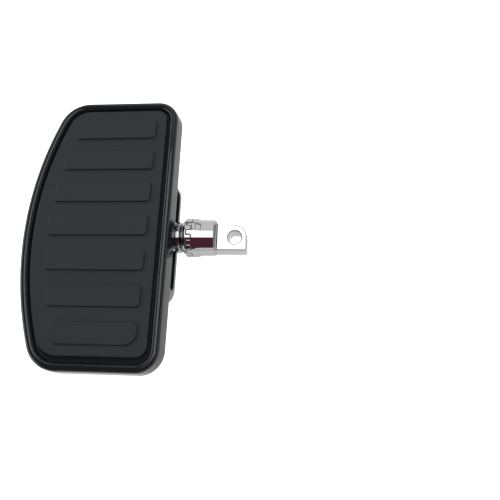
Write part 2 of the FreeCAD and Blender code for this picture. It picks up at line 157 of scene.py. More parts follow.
LEFT_CARD_CORNERS = [(-1.0, -0.11), (1.6, -0.11), (1.6, 1.09), (-1.0, 1.09)]    # (y, z)

CAMERA_TURNS = (-0.2788, -0.0851, -0.0056)                 # about X, Y and Z, in radians
CAMERA_SHIFT = (-10.8344, 7.5049, -342.4226)               # of the pin bore in the camera's axes, in mm


# Sizes and colours of the panel

def in_mm(name, description, default):
    """A length property with its default in millimetres."""
    return bpy.props.FloatProperty(name=name, description=description, default=default * MM, unit="LENGTH")


def rgb(name, description, default):
    """A colour property."""
    return bpy.props.FloatVectorProperty(
        name=name, description=description, subtype="COLOR", size=3, default=default, min=0.0, max=1.0)


class FLOORBOARD_PG_sizes(bpy.types.PropertyGroup):
    """Sizes of the made pieces"""
    sheet: in_mm("Sheet", "Thickness of the pan's pressed sheet", 2.0)
    side_radius: in_mm("Side radius", "Radius of the board's curved side", 244.5)
    corner_inner: in_mm("Inner corner", "Radius of the corners beside the mount", 16.0)
    corner_outer: in_mm("Outer corner", "Radius of the corners of the curved side", 24.0)
    bead_crest: in_mm("Bead crest", "Width of the bead at its crest", 5.4)
    bead_foot: in_mm("Bead foot", "Width of the bead at the floor", 6.8)
    bead_height: in_mm("Bead height", "Height of the bead above the floor", 4.0)
    bead_shoulder: in_mm("Bead shoulder", "Radius of the bead's outer shoulder", 3.0)
    bead_lean: in_mm("Bead lean", "How far the bead's outer side leans in up to its crest", 0.9)
    skirt_flare: in_mm("Skirt flare", "How far the skirt's edge stands out from the deck's edge", 0.8)
    tooth_count: bpy.props.IntProperty(
        name="Teeth", description="Number of teeth round the index coupling", default=12, min=2)
    tooth_depth: in_mm("Tooth depth", "Length of the coupling's teeth", 3.6)
    tooth_gap: in_mm("Tooth gap", "Clearance between the sides of the teeth", 0.3)
    tooth_round: in_mm("Tooth round", "Radius along the outer edge of the teeth", 0.4)
    tooth_corner: in_mm("Tooth corner", "Radius of the teeth's corners seen from the side", 0.55)
    flare_straight: in_mm("Flare length", "Length of the mount's full radius beyond its teeth", 3.0)
    flare_taper: in_mm("Flare taper", "Length of the taper from the flare to the barrel", 3.6)
    flare_rise: in_mm("Flare rise", "How much larger the flare's radius is than the barrel's", 1.1)
    tooth_bore: in_mm("Tooth bore", "Radius of the hollow inside the teeth", 8.6)
    tooth_bore_depth: in_mm("Tooth bore depth", "Depth of the hollow inside the teeth", 4.0)
    bolt_bore: in_mm("Bolt bore", "Radius of the hole for the bolt", 5.25)
    collar_neck: in_mm("Collar neck", "Radius of the collar's narrow end", 10.0)
    collar_cone: in_mm("Collar cone", "Length of the collar's cone", 4.2)
    plate_ease: in_mm("Plate ease", "Width of the eased edges of the bracket's plate", 0.45)
    bar_rise: in_mm("Bar rise", "Height of the raised bars above the pad", 1.5)
    bar_width: in_mm("Bar width", "Width of a raised bar along the board", 15.4)
    bar_count: bpy.props.IntProperty(
        name="Bars", description="Number of raised bars on the pad", default=7, min=1)


class FLOORBOARD_PG_finish(bpy.types.PropertyGroup):
    """Colours of the finishes"""
    paint: rgb("Paint", "Colour of the gloss paint", (0.011, 0.012, 0.014))
    rubber: rgb("Rubber", "Colour of the tread pad", (0.0155, 0.0165, 0.0190))
    chrome: rgb("Chrome", "Colour of the plated mount", (0.49, 0.50, 0.505))
    zinc: rgb("Zinc", "Colour of the plated studs and bolt", (0.66, 0.68, 0.70))


class FLOORBOARD_PG_stage(bpy.types.PropertyGroup):
    """Lights, camera and floor"""
    lens: bpy.props.FloatProperty(
        name="Lens", description="Focal length of the camera", default=32.95, unit="CAMERA")
    softbox: bpy.props.FloatProperty(
        name="Softbox", description="Power of the overhead softbox", default=3.9, unit="POWER")
    side_light: bpy.props.FloatProperty(
        name="Side light", description="Power of the light on the curved side", default=1.6, unit="POWER")
    ambient: bpy.props.FloatProperty(
        name="Ambient", description="Level of the room's light on matt surfaces", default=0.45, min=0.0)
    floor_depth: in_mm("Floor depth", "How far the floor lies below the pin bore", 120.0)


# Outlines and surfaces

def arcs_outline(parts):
    """An outline as arrays of centres, radii and directions, one row per point.

    parts lists the outline's arcs in counter-clockwise order as (centre, radius, start, end, steps), with
    the angles in degrees. A point is centre + radius * direction, and the outline moved inwards by d is
    centre + (radius - d) * direction, because straight runs join arcs at their tangents.
    """
    centres, radii, directions = [], [], []
    for centre, radius, start, end, steps in parts:
        angle = np.radians(np.linspace(start, end, steps + 1))
        centres.append(np.tile(centre, (steps + 1, 1)))
        radii.append(np.full(steps + 1, radius))
        directions.append(np.stack([np.cos(angle), np.sin(angle)], axis=1))
    return np.concatenate(centres), np.concatenate(radii), np.concatenate(directions)


def swept(outline, profile):
    """Rings of points: the outline moved in by each profile point's inset, at that point's height.

    The result's first axis runs along the profile and its second round the outline.
    """
    centres, radii, directions = outline
    inset, height = np.asarray(profile, float).T
    plane = centres[None] + (radii[None, :, None] - inset[:, None, None]) * directions[None]
    heights = np.broadcast_to(height[:, None, None], plane.shape[:2] + (1,))
    return np.concatenate([plane, heights], axis=2)


def rounded(points, radii, steps=6):
    """An open polyline whose inner corners are replaced by arcs.

    At each corner the arc's centre lies on the bisector at radius / sin(half angle), and its points turn
    evenly from one tangent point to the other.
    """
    p = np.asarray(points, float)
    back = p[:-2] - p[1:-1]
    ahead = p[2:] - p[1:-1]
    back /= np.linalg.norm(back, axis=1, keepdims=True)
    ahead /= np.linalg.norm(ahead, axis=1, keepdims=True)
    half = np.arccos(np.clip((back * ahead).sum(1), -1, 1)) / 2
    radius = np.broadcast_to(np.asarray(radii, float), half.shape)
    bisector = back + ahead
    bisector /= np.linalg.norm(bisector, axis=1, keepdims=True)
    centre = p[1:-1] + bisector * (radius / np.sin(half))[:, None]
    first = p[1:-1] + back * (radius / np.tan(half))[:, None] - centre
    last = p[1:-1] + ahead * (radius / np.tan(half))[:, None] - centre
    turn = (math.pi - 2 * half)[:, None, None]
    share = np.linspace(0, 1, steps + 1)[None, :, None]
    arc = (np.sin((1 - share) * turn) * first[:, None] + np.sin(share * turn) * last[:, None]) / np.sin(turn)
    inner = (centre[:, None] + arc).reshape(-1, 2)
    return np.concatenate([p[:1], inner, p[-1:]])


def ring_faces(rows, columns):
    """Quads between neighbouring rings that close on themselves."""
    row = np.arange(rows - 1)[:, None] * columns
    column = np.arange(columns)[None]
    after = (column + 1) % columns
    quads = np.stack([row + column, row + after, row + columns + after, row + columns + column], axis=2)
    return quads.reshape(-1, 4)


def between(outer, holes, upwards=True):
    """Triangles that fill a flat region between an outline and holes in it, given as point arrays."""
    loops = [[Vector(point) for point in loop] for loop in [outer] + list(holes)]
    points = np.concatenate([outer] + list(holes))
    faces = np.array(tessellate_polygon(loops))
    a, b, c = (points[faces[:, k]] for k in range(3))
    up = np.cross(b - a, c - a)[:, 2] > 0
    faces[up != upwards] = faces[up != upwards][:, ::-1]
    return points, faces


def new_piece(name, points, faces, slot, body, nodes):
    """A finished mesh piece: doubles merged, smooth shaded with sharp edges, riding on its body."""
    mesh = bpy.data.meshes.new(name)
    mesh.from_pydata(points.tolist(), [], [face for group in faces for face in group.tolist()])
    obj = bpy.data.objects.new(name, mesh)
    bpy.context.scene.collection.objects.link(obj)
    merge_doubles(mesh)
    mesh.shade_smooth()
    mesh.set_sharp_from_angle(angle=SHARP_ANGLE)
    weighted = obj.modifiers.new("weighted", "WEIGHTED_NORMAL")
    weighted.keep_sharp = True
    mesh.materials.append(finishes()[slot])
    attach(obj, body)
    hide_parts(*nodes)


def merge_doubles(mesh):
    work = bmesh.new()
    work.from_mesh(mesh)
    bmesh.ops.remove_doubles(work, verts=work.verts, dist=MERGE_DISTANCE)
    work.to_mesh(mesh)
    work.free()


# Materials

def node(tree, kind, **inputs):
    """A shader node with values set on its own sockets."""
    made = tree.nodes.new(kind)
    for key, value in inputs.items():
        made.inputs[key.replace("_", " ")].default_value = value
    return made


def surface_wear():
    """Node group: a surface's fine unevenness as a roughness and a height, from Object coordinates."""
    if "surface_wear" in bpy.data.node_groups:
        return bpy.data.node_groups["surface_wear"]
    group = bpy.data.node_groups.new("surface_wear", "ShaderNodeTree")
    for name, default in (("Scale", 300.0), ("Roughness", 0.2), ("Spread", 0.1)):
        socket = group.interface.new_socket(name=name, in_out="INPUT", socket_type="NodeSocketFloat")
        socket.default_value = default
    group.interface.new_socket(name="Roughness", in_out="OUTPUT", socket_type="NodeSocketFloat")
    group.interface.new_socket(name="Height", in_out="OUTPUT", socket_type="NodeSocketFloat")
    given = group.nodes.new("NodeGroupInput")
    result = group.nodes.new("NodeGroupOutput")
    place = group.nodes.new("ShaderNodeTexCoord")
    noise = node(group, "ShaderNodeTexNoise", Detail=3.0)
    group.links.new(place.outputs["Object"], noise.inputs["Vector"])
    group.links.new(given.outputs["Scale"], noise.inputs["Scale"])
    centred = group.nodes.new("ShaderNodeMath")
    centred.operation = "SUBTRACT"
    centred.inputs[1].default_value = 0.5
    group.links.new(noise.outputs["Fac"], centred.inputs[0])
    scaled = group.nodes.new("ShaderNodeMath")
    scaled.operation = "MULTIPLY_ADD"
    group.links.new(centred.outputs[0], scaled.inputs[0])
    group.links.new(given.outputs["Spread"], scaled.inputs[1])
    group.links.new(given.outputs["Roughness"], scaled.inputs[2])
    group.links.new(scaled.outputs[0], result.inputs["Roughness"])
    group.links.new(noise.outputs["Fac"], result.inputs["Height"])
    return group


def finish(name, colour, roughness, spread, scale, bump=0.0, metallic=0.0, specular=0.5):
    """A Principled material whose roughness and bump vary finely over the surface.

    spread is how far the roughness varies, scale is the noise's and bump is the height of the unevenness.
    """
    material = bpy.data.materials.new(name)
    material.use_nodes = True
    tree = material.node_tree
    shader = tree.nodes["Principled BSDF"]
    shader.inputs["Base Color"].default_value = (*colour, 1.0)
    shader.inputs["Metallic"].default_value = metallic
    shader.inputs["Specular IOR Level"].default_value = specular
    wear = tree.nodes.new("ShaderNodeGroup")
    wear.node_tree = surface_wear()
    wear.inputs["Scale"].default_value = scale
    wear.inputs["Roughness"].default_value = roughness
    wear.inputs["Spread"].default_value = spread
    tree.links.new(wear.outputs["Roughness"], shader.inputs["Roughness"])
    if bump:
        rough = node(tree, "ShaderNodeBump", Strength=1.0, Distance=bump)
        tree.links.new(wear.outputs["Height"], rough.inputs["Height"])
        tree.links.new(rough.outputs["Normal"], shader.inputs["Normal"])


def finishes():
    """The object's finishes by slot, made once."""
    look = bpy.context.scene.floorboard_finish
    if "gloss_black_paint" not in bpy.data.materials:
        finish("gloss_black_paint", look.paint, roughness=0.10, spread=0.05, scale=260.0)
        finish("black_paint_on_welds", look.paint, roughness=0.16, spread=0.1, scale=700.0, bump=0.04 * MM)
        finish("moulded_rubber", look.rubber, roughness=0.62, spread=0.1, scale=1400.0, bump=0.02 * MM,
               specular=0.42)
        finish("chrome_plate", look.chrome, roughness=0.035, spread=0.02, scale=120.0, bump=0.002 * MM,
               metallic=1.0)
        finish("zinc_plate", look.zinc, roughness=0.32, spread=0.12, scale=900.0, bump=0.008 * MM,
               metallic=1.0)
    made = bpy.data.materials
    return {"pan_paint": made["gloss_black_paint"], "bracket_paint": made["gloss_black_paint"],
            "weld_paint": made["black_paint_on_welds"], "pad_rubber": made["moulded_rubber"],
            "mount_chrome": made["chrome_plate"], "stud_zinc": made["zinc_plate"],
            "bolt_zinc": made["zinc_plate"]}


# The object's own places

def deck_places():
    """The corners of the deck's box without the skirt's flare, and the Y of its middle, from the frame."""
    low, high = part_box("deck_pan")
    flare = Vector((1, 1, 0)) * bpy.context.scene.floorboard_sizes.skirt_flare
    return low + flare, high - flare, (low.y + high.y) / 2


def d_outline(right, front, rear, bulge, corner_right, corner_left):
    """The board's D outline: four corner arcs and the large arc of the curved side.

    Each outer corner is the circle inside the large arc that touches both it and the straight end, so its
    centre stands bulge - corner from the large arc's centre.
    """
    size = bpy.context.scene.floorboard_sizes
    low, _, middle = deck_places()
    centre = np.array([low.x + size.side_radius, middle])
    reach = bulge - corner_left
    tall_front = front - corner_left
    tall_rear = rear - corner_left
    left_front = centre + np.array([-math.sqrt(reach ** 2 - tall_front ** 2), tall_front])
    left_rear = centre + np.array([-math.sqrt(reach ** 2 - tall_rear ** 2), -tall_rear])
    angle_front = 180 - math.degrees(math.asin(tall_front / reach))
    angle_rear = 180 + math.degrees(math.asin(tall_rear / reach))
    right_front = np.array([right - corner_right, middle + front - corner_right])
    right_rear = np.array([right - corner_right, middle - rear + corner_right])
    return arcs_outline([
        (right_front, corner_right, 0, 90, CORNER_STEPS),
        (left_front, corner_left, 90, angle_front, CORNER_STEPS),
        (centre, bulge, angle_front, angle_rear, SIDE_STEPS),
        (left_rear, corner_left, angle_rear, 270, CORNER_STEPS),
        (right_rear, corner_right, 270, 360, CORNER_STEPS),
    ])


# Pieces

class FLOORBOARD_OT_deck_pan(bpy.types.Operator):
    """Pressed pan: one section carried round the D outline, with the floor closed inside it"""
    bl_idname = "floorboard.deck_pan"
    bl_label = "Deck Pan"

    def execute(self, context):
        size = context.scene.floorboard_sizes
        low, high, _ = deck_places()
        half = (high.y - low.y) / 2
        outline = d_outline(high.x, half, half, size.side_radius, size.corner_inner, size.corner_outer)
        rings = swept(outline, self.section(size, low.z, high.z))
        floor_under = high.z - size.bead_height - size.sheet
        through = np.array([0, 0, size.sheet])
        holes = [circle(centre, STUD_HOLE, floor_under, HOLE_STEPS) for centre in stud_centres()]
        points, under = between(rings[0], holes, upwards=False)
        top_points, top = between(rings[-1], [loop + through for loop in holes])
        walls = [np.concatenate([loop, loop + through]) for loop in holes]
        wall_faces = [ring_faces(2, HOLE_STEPS)[:, ::-1] for loop in holes]
        joined, groups = join([rings.reshape(-1, 3), points, top_points] + walls,
                              [ring_faces(*rings.shape[:2]), under, top] + wall_faces)
        new_piece("pressed_pan", joined, groups, "pan_paint", "board", ["deck_pan"])
        return {"FINISHED"}

    def section(self, size, bottom, crest):
        """The sheet's section as (inset, height), from the floor's underside round the skirt to its top.

        The bead's inner side slopes, so to keep the sheet's thickness its underside lies
        sheet * sqrt(1 + slope^2) further out, measured level.
        """
        floor_top = crest - size.bead_height
        floor_under = floor_top - size.sheet
        roof = crest - size.sheet
        slope = (size.bead_foot - size.bead_crest) / size.bead_height
        wall = size.sheet * math.hypot(1, slope)
        under_foot = size.bead_foot + size.sheet * slope - wall
        under_crest = size.bead_foot - (roof - floor_top) * slope - wall
        inner_end = size.bead_foot + FLOOR_RUN
        flare = size.skirt_flare
        corners = np.array([
            (inner_end, floor_under, 0.0),
            (under_foot, floor_under, UNDER_FOOT_ROUND),
            (under_crest, roof, GROOVE_INNER_ROUND),
            (size.sheet, roof, GROOVE_OUTER_ROUND),
            (size.sheet, floor_under, SKIRT_INNER_BEND),
            (size.sheet - flare, bottom, SKIRT_EDGE_ROUND),
            (-flare, bottom, SKIRT_EDGE_ROUND),
            (-SKIRT_KNEE_SHARE * flare, floor_under - SKIRT_KNEE_DROP, SKIRT_OUTER_BEND),
            (BEAD_KNEE_SHARE * size.bead_lean, floor_top + BEAD_KNEE_RISE, BEAD_OUTER_BEND),
            (size.bead_lean, crest, size.bead_shoulder),
            (size.bead_crest, crest, BEAD_INNER_ROUND),
            (size.bead_foot, floor_top, FOOT_FILLET),
            (inner_end, floor_top, 0.0),
        ])
        return rounded(corners[:, :2], corners[1:-1, 2], SECTION_STEPS)


def join(parts, faces):
    """Point arrays put end to end, with each part's faces counted from its own first point."""
    starts = np.cumsum([0] + [len(part) for part in parts[:-1]])
    return np.concatenate(parts), [face + start for face, start in zip(faces, starts)]


def circle(centre, radius, height, steps):
    angle = np.linspace(0, 2 * math.pi, steps, endpoint=False)
    return np.stack([centre[0] + radius * np.cos(angle), centre[1] + radius * np.sin(angle),
                     np.full(steps, height)], axis=1)


def stud_centres():
    """The middles of the four pad studs, from the frame."""
    boxes = [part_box(name) for name in sorted(NODES) if name.startswith("pad_stud")]
    return [((low.x + high.x) / 2, (low.y + high.y) / 2) for low, high in boxes]


class FLOORBOARD_OT_tread_pad(bpy.types.Operator):
    """Moulded pad: a plate with rounded edges, and raised bars that run into it with a small root fillet"""
    bl_idname = "floorboard.tread_pad"
    bl_label = "Tread Pad"

    def execute(self, context):
        size = context.scene.floorboard_sizes
        low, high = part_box("tread_pad")
        _, deck_high, middle = deck_places()
        top = high.z - size.bar_rise
        gap = deck_high.x - high.x
        outline = d_outline(high.x, high.y - middle, middle - low.y, size.side_radius - gap,
                            PAD_CORNER_INNER, PAD_CORNER_OUTER)
        edge = rounded([(PAD_UNDER_RUN, low.z), (0, low.z), (0, top), (PAD_TOP_RUN, top)],
                       [PAD_UNDER_ROUND, PAD_TOP_ROUND], SECTION_STEPS)
        plate = swept(outline, edge)
        bars = [swept(bar, self.bar_profile(top, size.bar_rise)) for bar in self.bar_outlines(size, gap)]
        flat, flat_faces = between(plate[-1], [bar[0] for bar in bars])
        base = plate[0]
        parts = [plate.reshape(-1, 3), flat, base] + [bar.reshape(-1, 3) for bar in bars]
        faces = [ring_faces(*plate.shape[:2]), flat_faces, np.arange(len(base))[None, ::-1]]
        faces += [ring_faces(*bar.shape[:2]) for bar in bars]
        for bar in bars:
            parts.append(bar[-1])
            faces.append(np.arange(len(bar[-1]))[None])
        joined, groups = join(parts, faces)
        new_piece("moulded_pad", joined, groups, "pad_rubber", "board", ["tread_pad"])
        return {"FINISHED"}

    def bar_profile(self, top, rise):
        """The bar's side from its foot on the pad to its flat top, with a root fillet and a rounded edge."""
        return rounded([(-BAR_FOOT_RUN, top), (0, top), (BAR_DRAFT, top + rise), (BAR_TOP_RUN, top + rise)],
                       [BAR_ROOT_FILLET, BAR_EDGE_ROUND])

    def bar_outlines(self, size, gap):
        """The bars' outlines from the front: four arcs each, the left pair on a line along the curved side."""
        deck_low, _, middle = deck_places()
        low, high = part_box("tread_pad")
        region_front = high.y - middle - BAR_MARGIN_FRONT
        region_rear = middle - low.y - BAR_MARGIN_REAR
        right = high.x - BAR_MARGIN_RIGHT
        bulge = size.side_radius - gap - BAR_MARGIN_LEFT
        centre_x = deck_low.x + size.side_radius
        pitch = (region_front + region_rear - size.bar_width) / (size.bar_count - 1)
        outlines = []
        for index in range(size.bar_count):
            front = region_front - pitch * index
            rear = front - size.bar_width
            ends = [centre_x - math.sqrt(bulge ** 2 - y ** 2) for y in (front, rear)]
            slant = math.atan2(ends[0] - ends[1], front - rear)
            last = index == size.bar_count - 1
            corner = [BAR_CORNER_RIGHT, BAR_CORNER_LEFT, BAR_CORNER_LEFT,
                      LAST_BAR_CORNER if last else BAR_CORNER_RIGHT]
            outlines.append(self.bar_outline(right, ends[0], middle + front, middle + rear, slant, corner))
        return outlines

    def bar_outline(self, right, left, front, rear, slant, corner):
        """A four-sided outline whose left side leans by slant from its front end.

        corner lists the radii from the front right corner round by the left. Each left corner's centre keeps
        its radius from both of its sides.
        """
        normal = np.array([-math.cos(slant), math.sin(slant)])

        def left_centre(y, radius):
            across = (-radius - (y - front) * normal[1]) / normal[0]
            return np.array([left + across, y])

        facing = math.degrees(math.atan2(normal[1], normal[0])) % 360
        front_right = np.array([right - corner[0], front - corner[0]])
        rear_right = np.array([right - corner[3], rear + corner[3]])
        return arcs_outline([
            (front_right, corner[0], 0, 90, BAR_CORNER_STEPS),
            (left_centre(front - corner[1], corner[1]), corner[1], 90, facing, BAR_CORNER_STEPS),
            (left_centre(rear + corner[2], corner[2]), corner[2], facing, 270, BAR_CORNER_STEPS),
            (rear_right, corner[3], 270, 360, BAR_CORNER_STEPS),
        ])


def index_axis():
    """The Y of the index axis, from the spacer ring."""
    low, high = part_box("spacer_ring")
    return (low.y + high.y) / 2


def round_axis(x, radius, angle):
    """Points about the index axis: x along it, radius from it and angle from +Y towards +Z."""
    x, radius, angle = np.broadcast_arrays(x, radius, angle)
    return np.stack([x, index_axis() + radius * np.cos(angle), radius * np.sin(angle)], axis=-1)


def tooth_line(root, tip, half_width, pitch, count, corner, phase):
    """The toothed edge unrolled from its cylinder: (arc length, x) points of all the teeth, evenly filled.

    One tooth is a square wave with rounded corners. Long runs are filled so that no step is over TOOTH_STEP.
    """
    wave = rounded([(-pitch / 2, root), (-half_width, root), (-half_width, tip), (half_width, tip),
                    (half_width, root), (pitch / 2, root)], corner, TOOTH_CORNER_STEPS)
    along = np.concatenate([[0], np.cumsum(np.linalg.norm(np.diff(wave, axis=0), axis=1))])
    filled = np.union1d(along, np.arange(0, along[-1], TOOTH_STEP))[:-1]
    one = np.stack([np.interp(filled, along, wave[:, 0]), np.interp(filled, along, wave[:, 1])], axis=1)
    starts = (np.arange(count) + phase) * pitch
    return (one[None] + np.stack([starts, np.zeros(count)], axis=1)[:, None]).reshape(-1, 2)


def moved_in(line, distance, length):
    """A closed unrolled line moved square to itself, by distance to its left; length is the way round."""
    turn = np.array([[length, 0]])
    padded = np.concatenate([line[-1:] - turn, line, line[:1] + turn])
    tangent = padded[2:] - padded[:-2]
    tangent /= np.linalg.norm(tangent, axis=1, keepdims=True)
    return line + distance * np.stack([-tangent[:, 1], tangent[:, 0]], axis=1)


def toothed_rings(root, tip, phase, outside, inside):
    """Rings of points from a turned outside, over the teeth's rounded edge, to a turned inside.

    outside and inside are (x, radius) profiles; the first ends and the second starts at the teeth. The edge
    is a quarter round carried along the toothed line: it sinks by round * (1 - cos) as it moves out by
    round * sin. phase shifts the teeth, in teeth.
    """
    size = bpy.context.scene.floorboard_sizes
    radius = outside[-1][1]
    length = 2 * math.pi * radius
    pitch = length / size.tooth_count
    half = pitch / 4 - size.tooth_gap / 2
    line = tooth_line(root, tip, half, pitch, size.tooth_count, size.tooth_corner, phase)
    inner = moved_in(line, math.copysign(size.tooth_round, root - tip), length)
    turn = np.linspace(0, math.pi / 2, TOOTH_EDGE_RINGS)
    share = np.sin(turn)[:, None, None]
    edge = line[None] * share + inner[None] * (1 - share)
    depth = np.broadcast_to((size.tooth_round * (1 - np.cos(turn)))[:, None], edge.shape[:2])
    rim = round_axis(edge[..., 1], radius - depth, edge[..., 0] / radius)
    bore = round_axis(line[:, 1], size.tooth_bore, line[:, 0] / radius)[None]
    body = round_axis(outside[:, :1], outside[:, 1:], inner[None, :, 0] / radius)
    back = round_axis(inside[:, :1], inside[:, 1:], line[None, :, 0] / radius)
    return np.concatenate([body, rim, bore, back])


class FLOORBOARD_OT_index_collar(bpy.types.Operator):
    """Toothed collar: a turned neck and cone, and a toothed edge rounded all along its line"""
    bl_idname = "floorboard.index_collar"
    bl_label = "Index Collar"

    def execute(self, context):
        size = context.scene.floorboard_sizes
        low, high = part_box("index_collar")
        radius = (high.z - low.z) / 2
        root = high.x - size.tooth_depth
        outside = rounded([(low.x, size.bolt_bore), (low.x, size.collar_neck),
                           (low.x + size.collar_cone, radius), (root - size.tooth_round, radius)],
                          COLLAR_ROUND)
        recess = high.x - size.tooth_bore_depth
        inside = np.array([(recess, size.tooth_bore), (recess, size.bolt_bore), (low.x, size.bolt_bore)])
        rings = toothed_rings(root, high.x, phase=0.5, outside=outside, inside=inside)
        faces = ring_faces(*rings.shape[:2])[:, ::-1]
        new_piece("toothed_collar", rings.reshape(-1, 3), [faces], "mount_chrome", "mount", ["index_collar"])
        return {"FINISHED"}


class FLOORBOARD_OT_peg_mount(bpy.types.Operator):
    """Peg mount: a turned barrel with a flared and toothed end, and the frame's tongue with its pin bore"""
    bl_idname = "floorboard.peg_mount"
    bl_label = "Peg Mount"

    def execute(self, context):
        size = context.scene.floorboard_sizes
        low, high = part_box("peg_mount")
        radius = (high.z - low.z) / 2
        root = low.x + size.tooth_depth
        taper = root + size.flare_straight
        barrel = radius - size.flare_rise
        cut = taper + size.flare_taper + BARREL_RUN
        outside = rounded([(cut, barrel), (taper + size.flare_taper, barrel), (taper, radius),
                           (root + size.tooth_round, radius)], FLARE_ROUND)
        recess = low.x + size.tooth_bore_depth
        inside = np.array([(recess, size.tooth_bore), (recess, size.bolt_bore), (cut, size.bolt_bore)])
        rings = toothed_rings(root, low.x, phase=0.0, outside=outside, inside=inside)
        tongue, triangles = self.beyond(cut)
        points, faces = join([rings.reshape(-1, 3), tongue], [ring_faces(*rings.shape[:2]), triangles])
        new_piece("toothed_mount", points, faces, "mount_chrome", "mount", ["peg_mount"])
        return {"FINISHED"}

    def beyond(self, cut):
        """Points and triangles of the frame's peg mount beyond a plane across it, from a merged copy."""
        work = bmesh.new()
        work.from_mesh(NODES["peg_mount"].data)
        bmesh.ops.remove_doubles(work, verts=work.verts, dist=MERGE_DISTANCE)
        bmesh.ops.bisect_plane(work, geom=work.verts[:] + work.edges[:] + work.faces[:],
                               plane_co=(cut, 0, 0), plane_no=(1, 0, 0), clear_inner=True)
        bmesh.ops.triangulate(work, faces=work.faces)
        mesh = bpy.data.meshes.new("beyond")
        work.to_mesh(mesh)
        work.free()
        points = np.empty(3 * len(mesh.vertices), np.float32)
        mesh.vertices.foreach_get("co", points)
        corners = np.empty(len(mesh.loops), np.int32)
        mesh.loops.foreach_get("vertex_index", corners)
        bpy.data.meshes.remove(mesh)
        return points.reshape(-1, 3), corners.reshape(-1, 3)


class FLOORBOARD_OT_spacer_ring(bpy.types.Operator):
    """Spacer ring: a turned ring with eased rims, its section closed on its outer face"""
    bl_idname = "floorboard.spacer_ring"
    bl_label = "Spacer Ring"

    def execute(self, context):
        size = context.scene.floorboard_sizes
        low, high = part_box("spacer_ring")
        radius = (high.z - low.z) / 2
        seam = (high.x, size.bolt_bore + MM)
        section = [seam, (high.x, radius), (low.x, radius), (low.x, size.bolt_bore),
                   (high.x, size.bolt_bore), seam]
        profile = rounded(section, [RING_ROUND, RING_ROUND, RING_BORE_ROUND, RING_BORE_ROUND])
        angle = np.linspace(0, 2 * math.pi, TURNED_STEPS, endpoint=False)
        rings = round_axis(profile[:, :1], profile[:, 1:], angle[None])
        new_piece("turned_ring", rings.reshape(-1, 3), [ring_faces(*rings.shape[:2])], "mount_chrome",
                  "spacer", ["spacer_ring"])
        return {"FINISHED"}


class FLOORBOARD_OT_mount_bracket(bpy.types.Operator):
    """Bent plate: the frame's plate with its flat faces joined up and its sheared edges eased"""
    bl_idname = "floorboard.mount_bracket"
    bl_label = "Mount Bracket"

    def execute(self, context):
        size = context.scene.floorboard_sizes
        work = bmesh.new()
        work.from_mesh(NODES["mount_bracket"].data)
        bmesh.ops.remove_doubles(work, verts=work.verts, dist=MERGE_DISTANCE)
        bmesh.ops.dissolve_limit(work, angle_limit=FLAT_ANGLE, verts=work.verts, edges=work.edges)
        mesh = bpy.data.meshes.new("bent_plate")
        work.to_mesh(mesh)
        work.free()
        obj = bpy.data.objects.new("bent_plate", mesh)
        context.scene.collection.objects.link(obj)
        mesh.shade_smooth()
        bevel = obj.modifiers.new("eased", "BEVEL")
        bevel.width = size.plate_ease
        bevel.segments = 3
        bevel.limit_method = "ANGLE"
        bevel.angle_limit = PLATE_EDGE_ANGLE
        bevel.harden_normals = True
        mesh.materials.append(finishes()["bracket_paint"])
        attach(obj, "board")
        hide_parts("mount_bracket")
        return {"FINISHED"}


class FLOORBOARD_OT_plain_pieces(bpy.types.Operator):
    """Finishes for the pieces that are shown as they are in the frame"""
    bl_idname = "floorboard.plain_pieces"
    bl_label = "Plain Pieces"

    def execute(self, context):
        made = finishes()
        slots = {part["node"]: part["material_slot"] for part in frame["record"]["subparts"]}
        for name, obj in NODES.items():
            obj.data.materials.clear()
            obj.data.materials.append(made[slots[name]])
        return {"FINISHED"}


# Stage

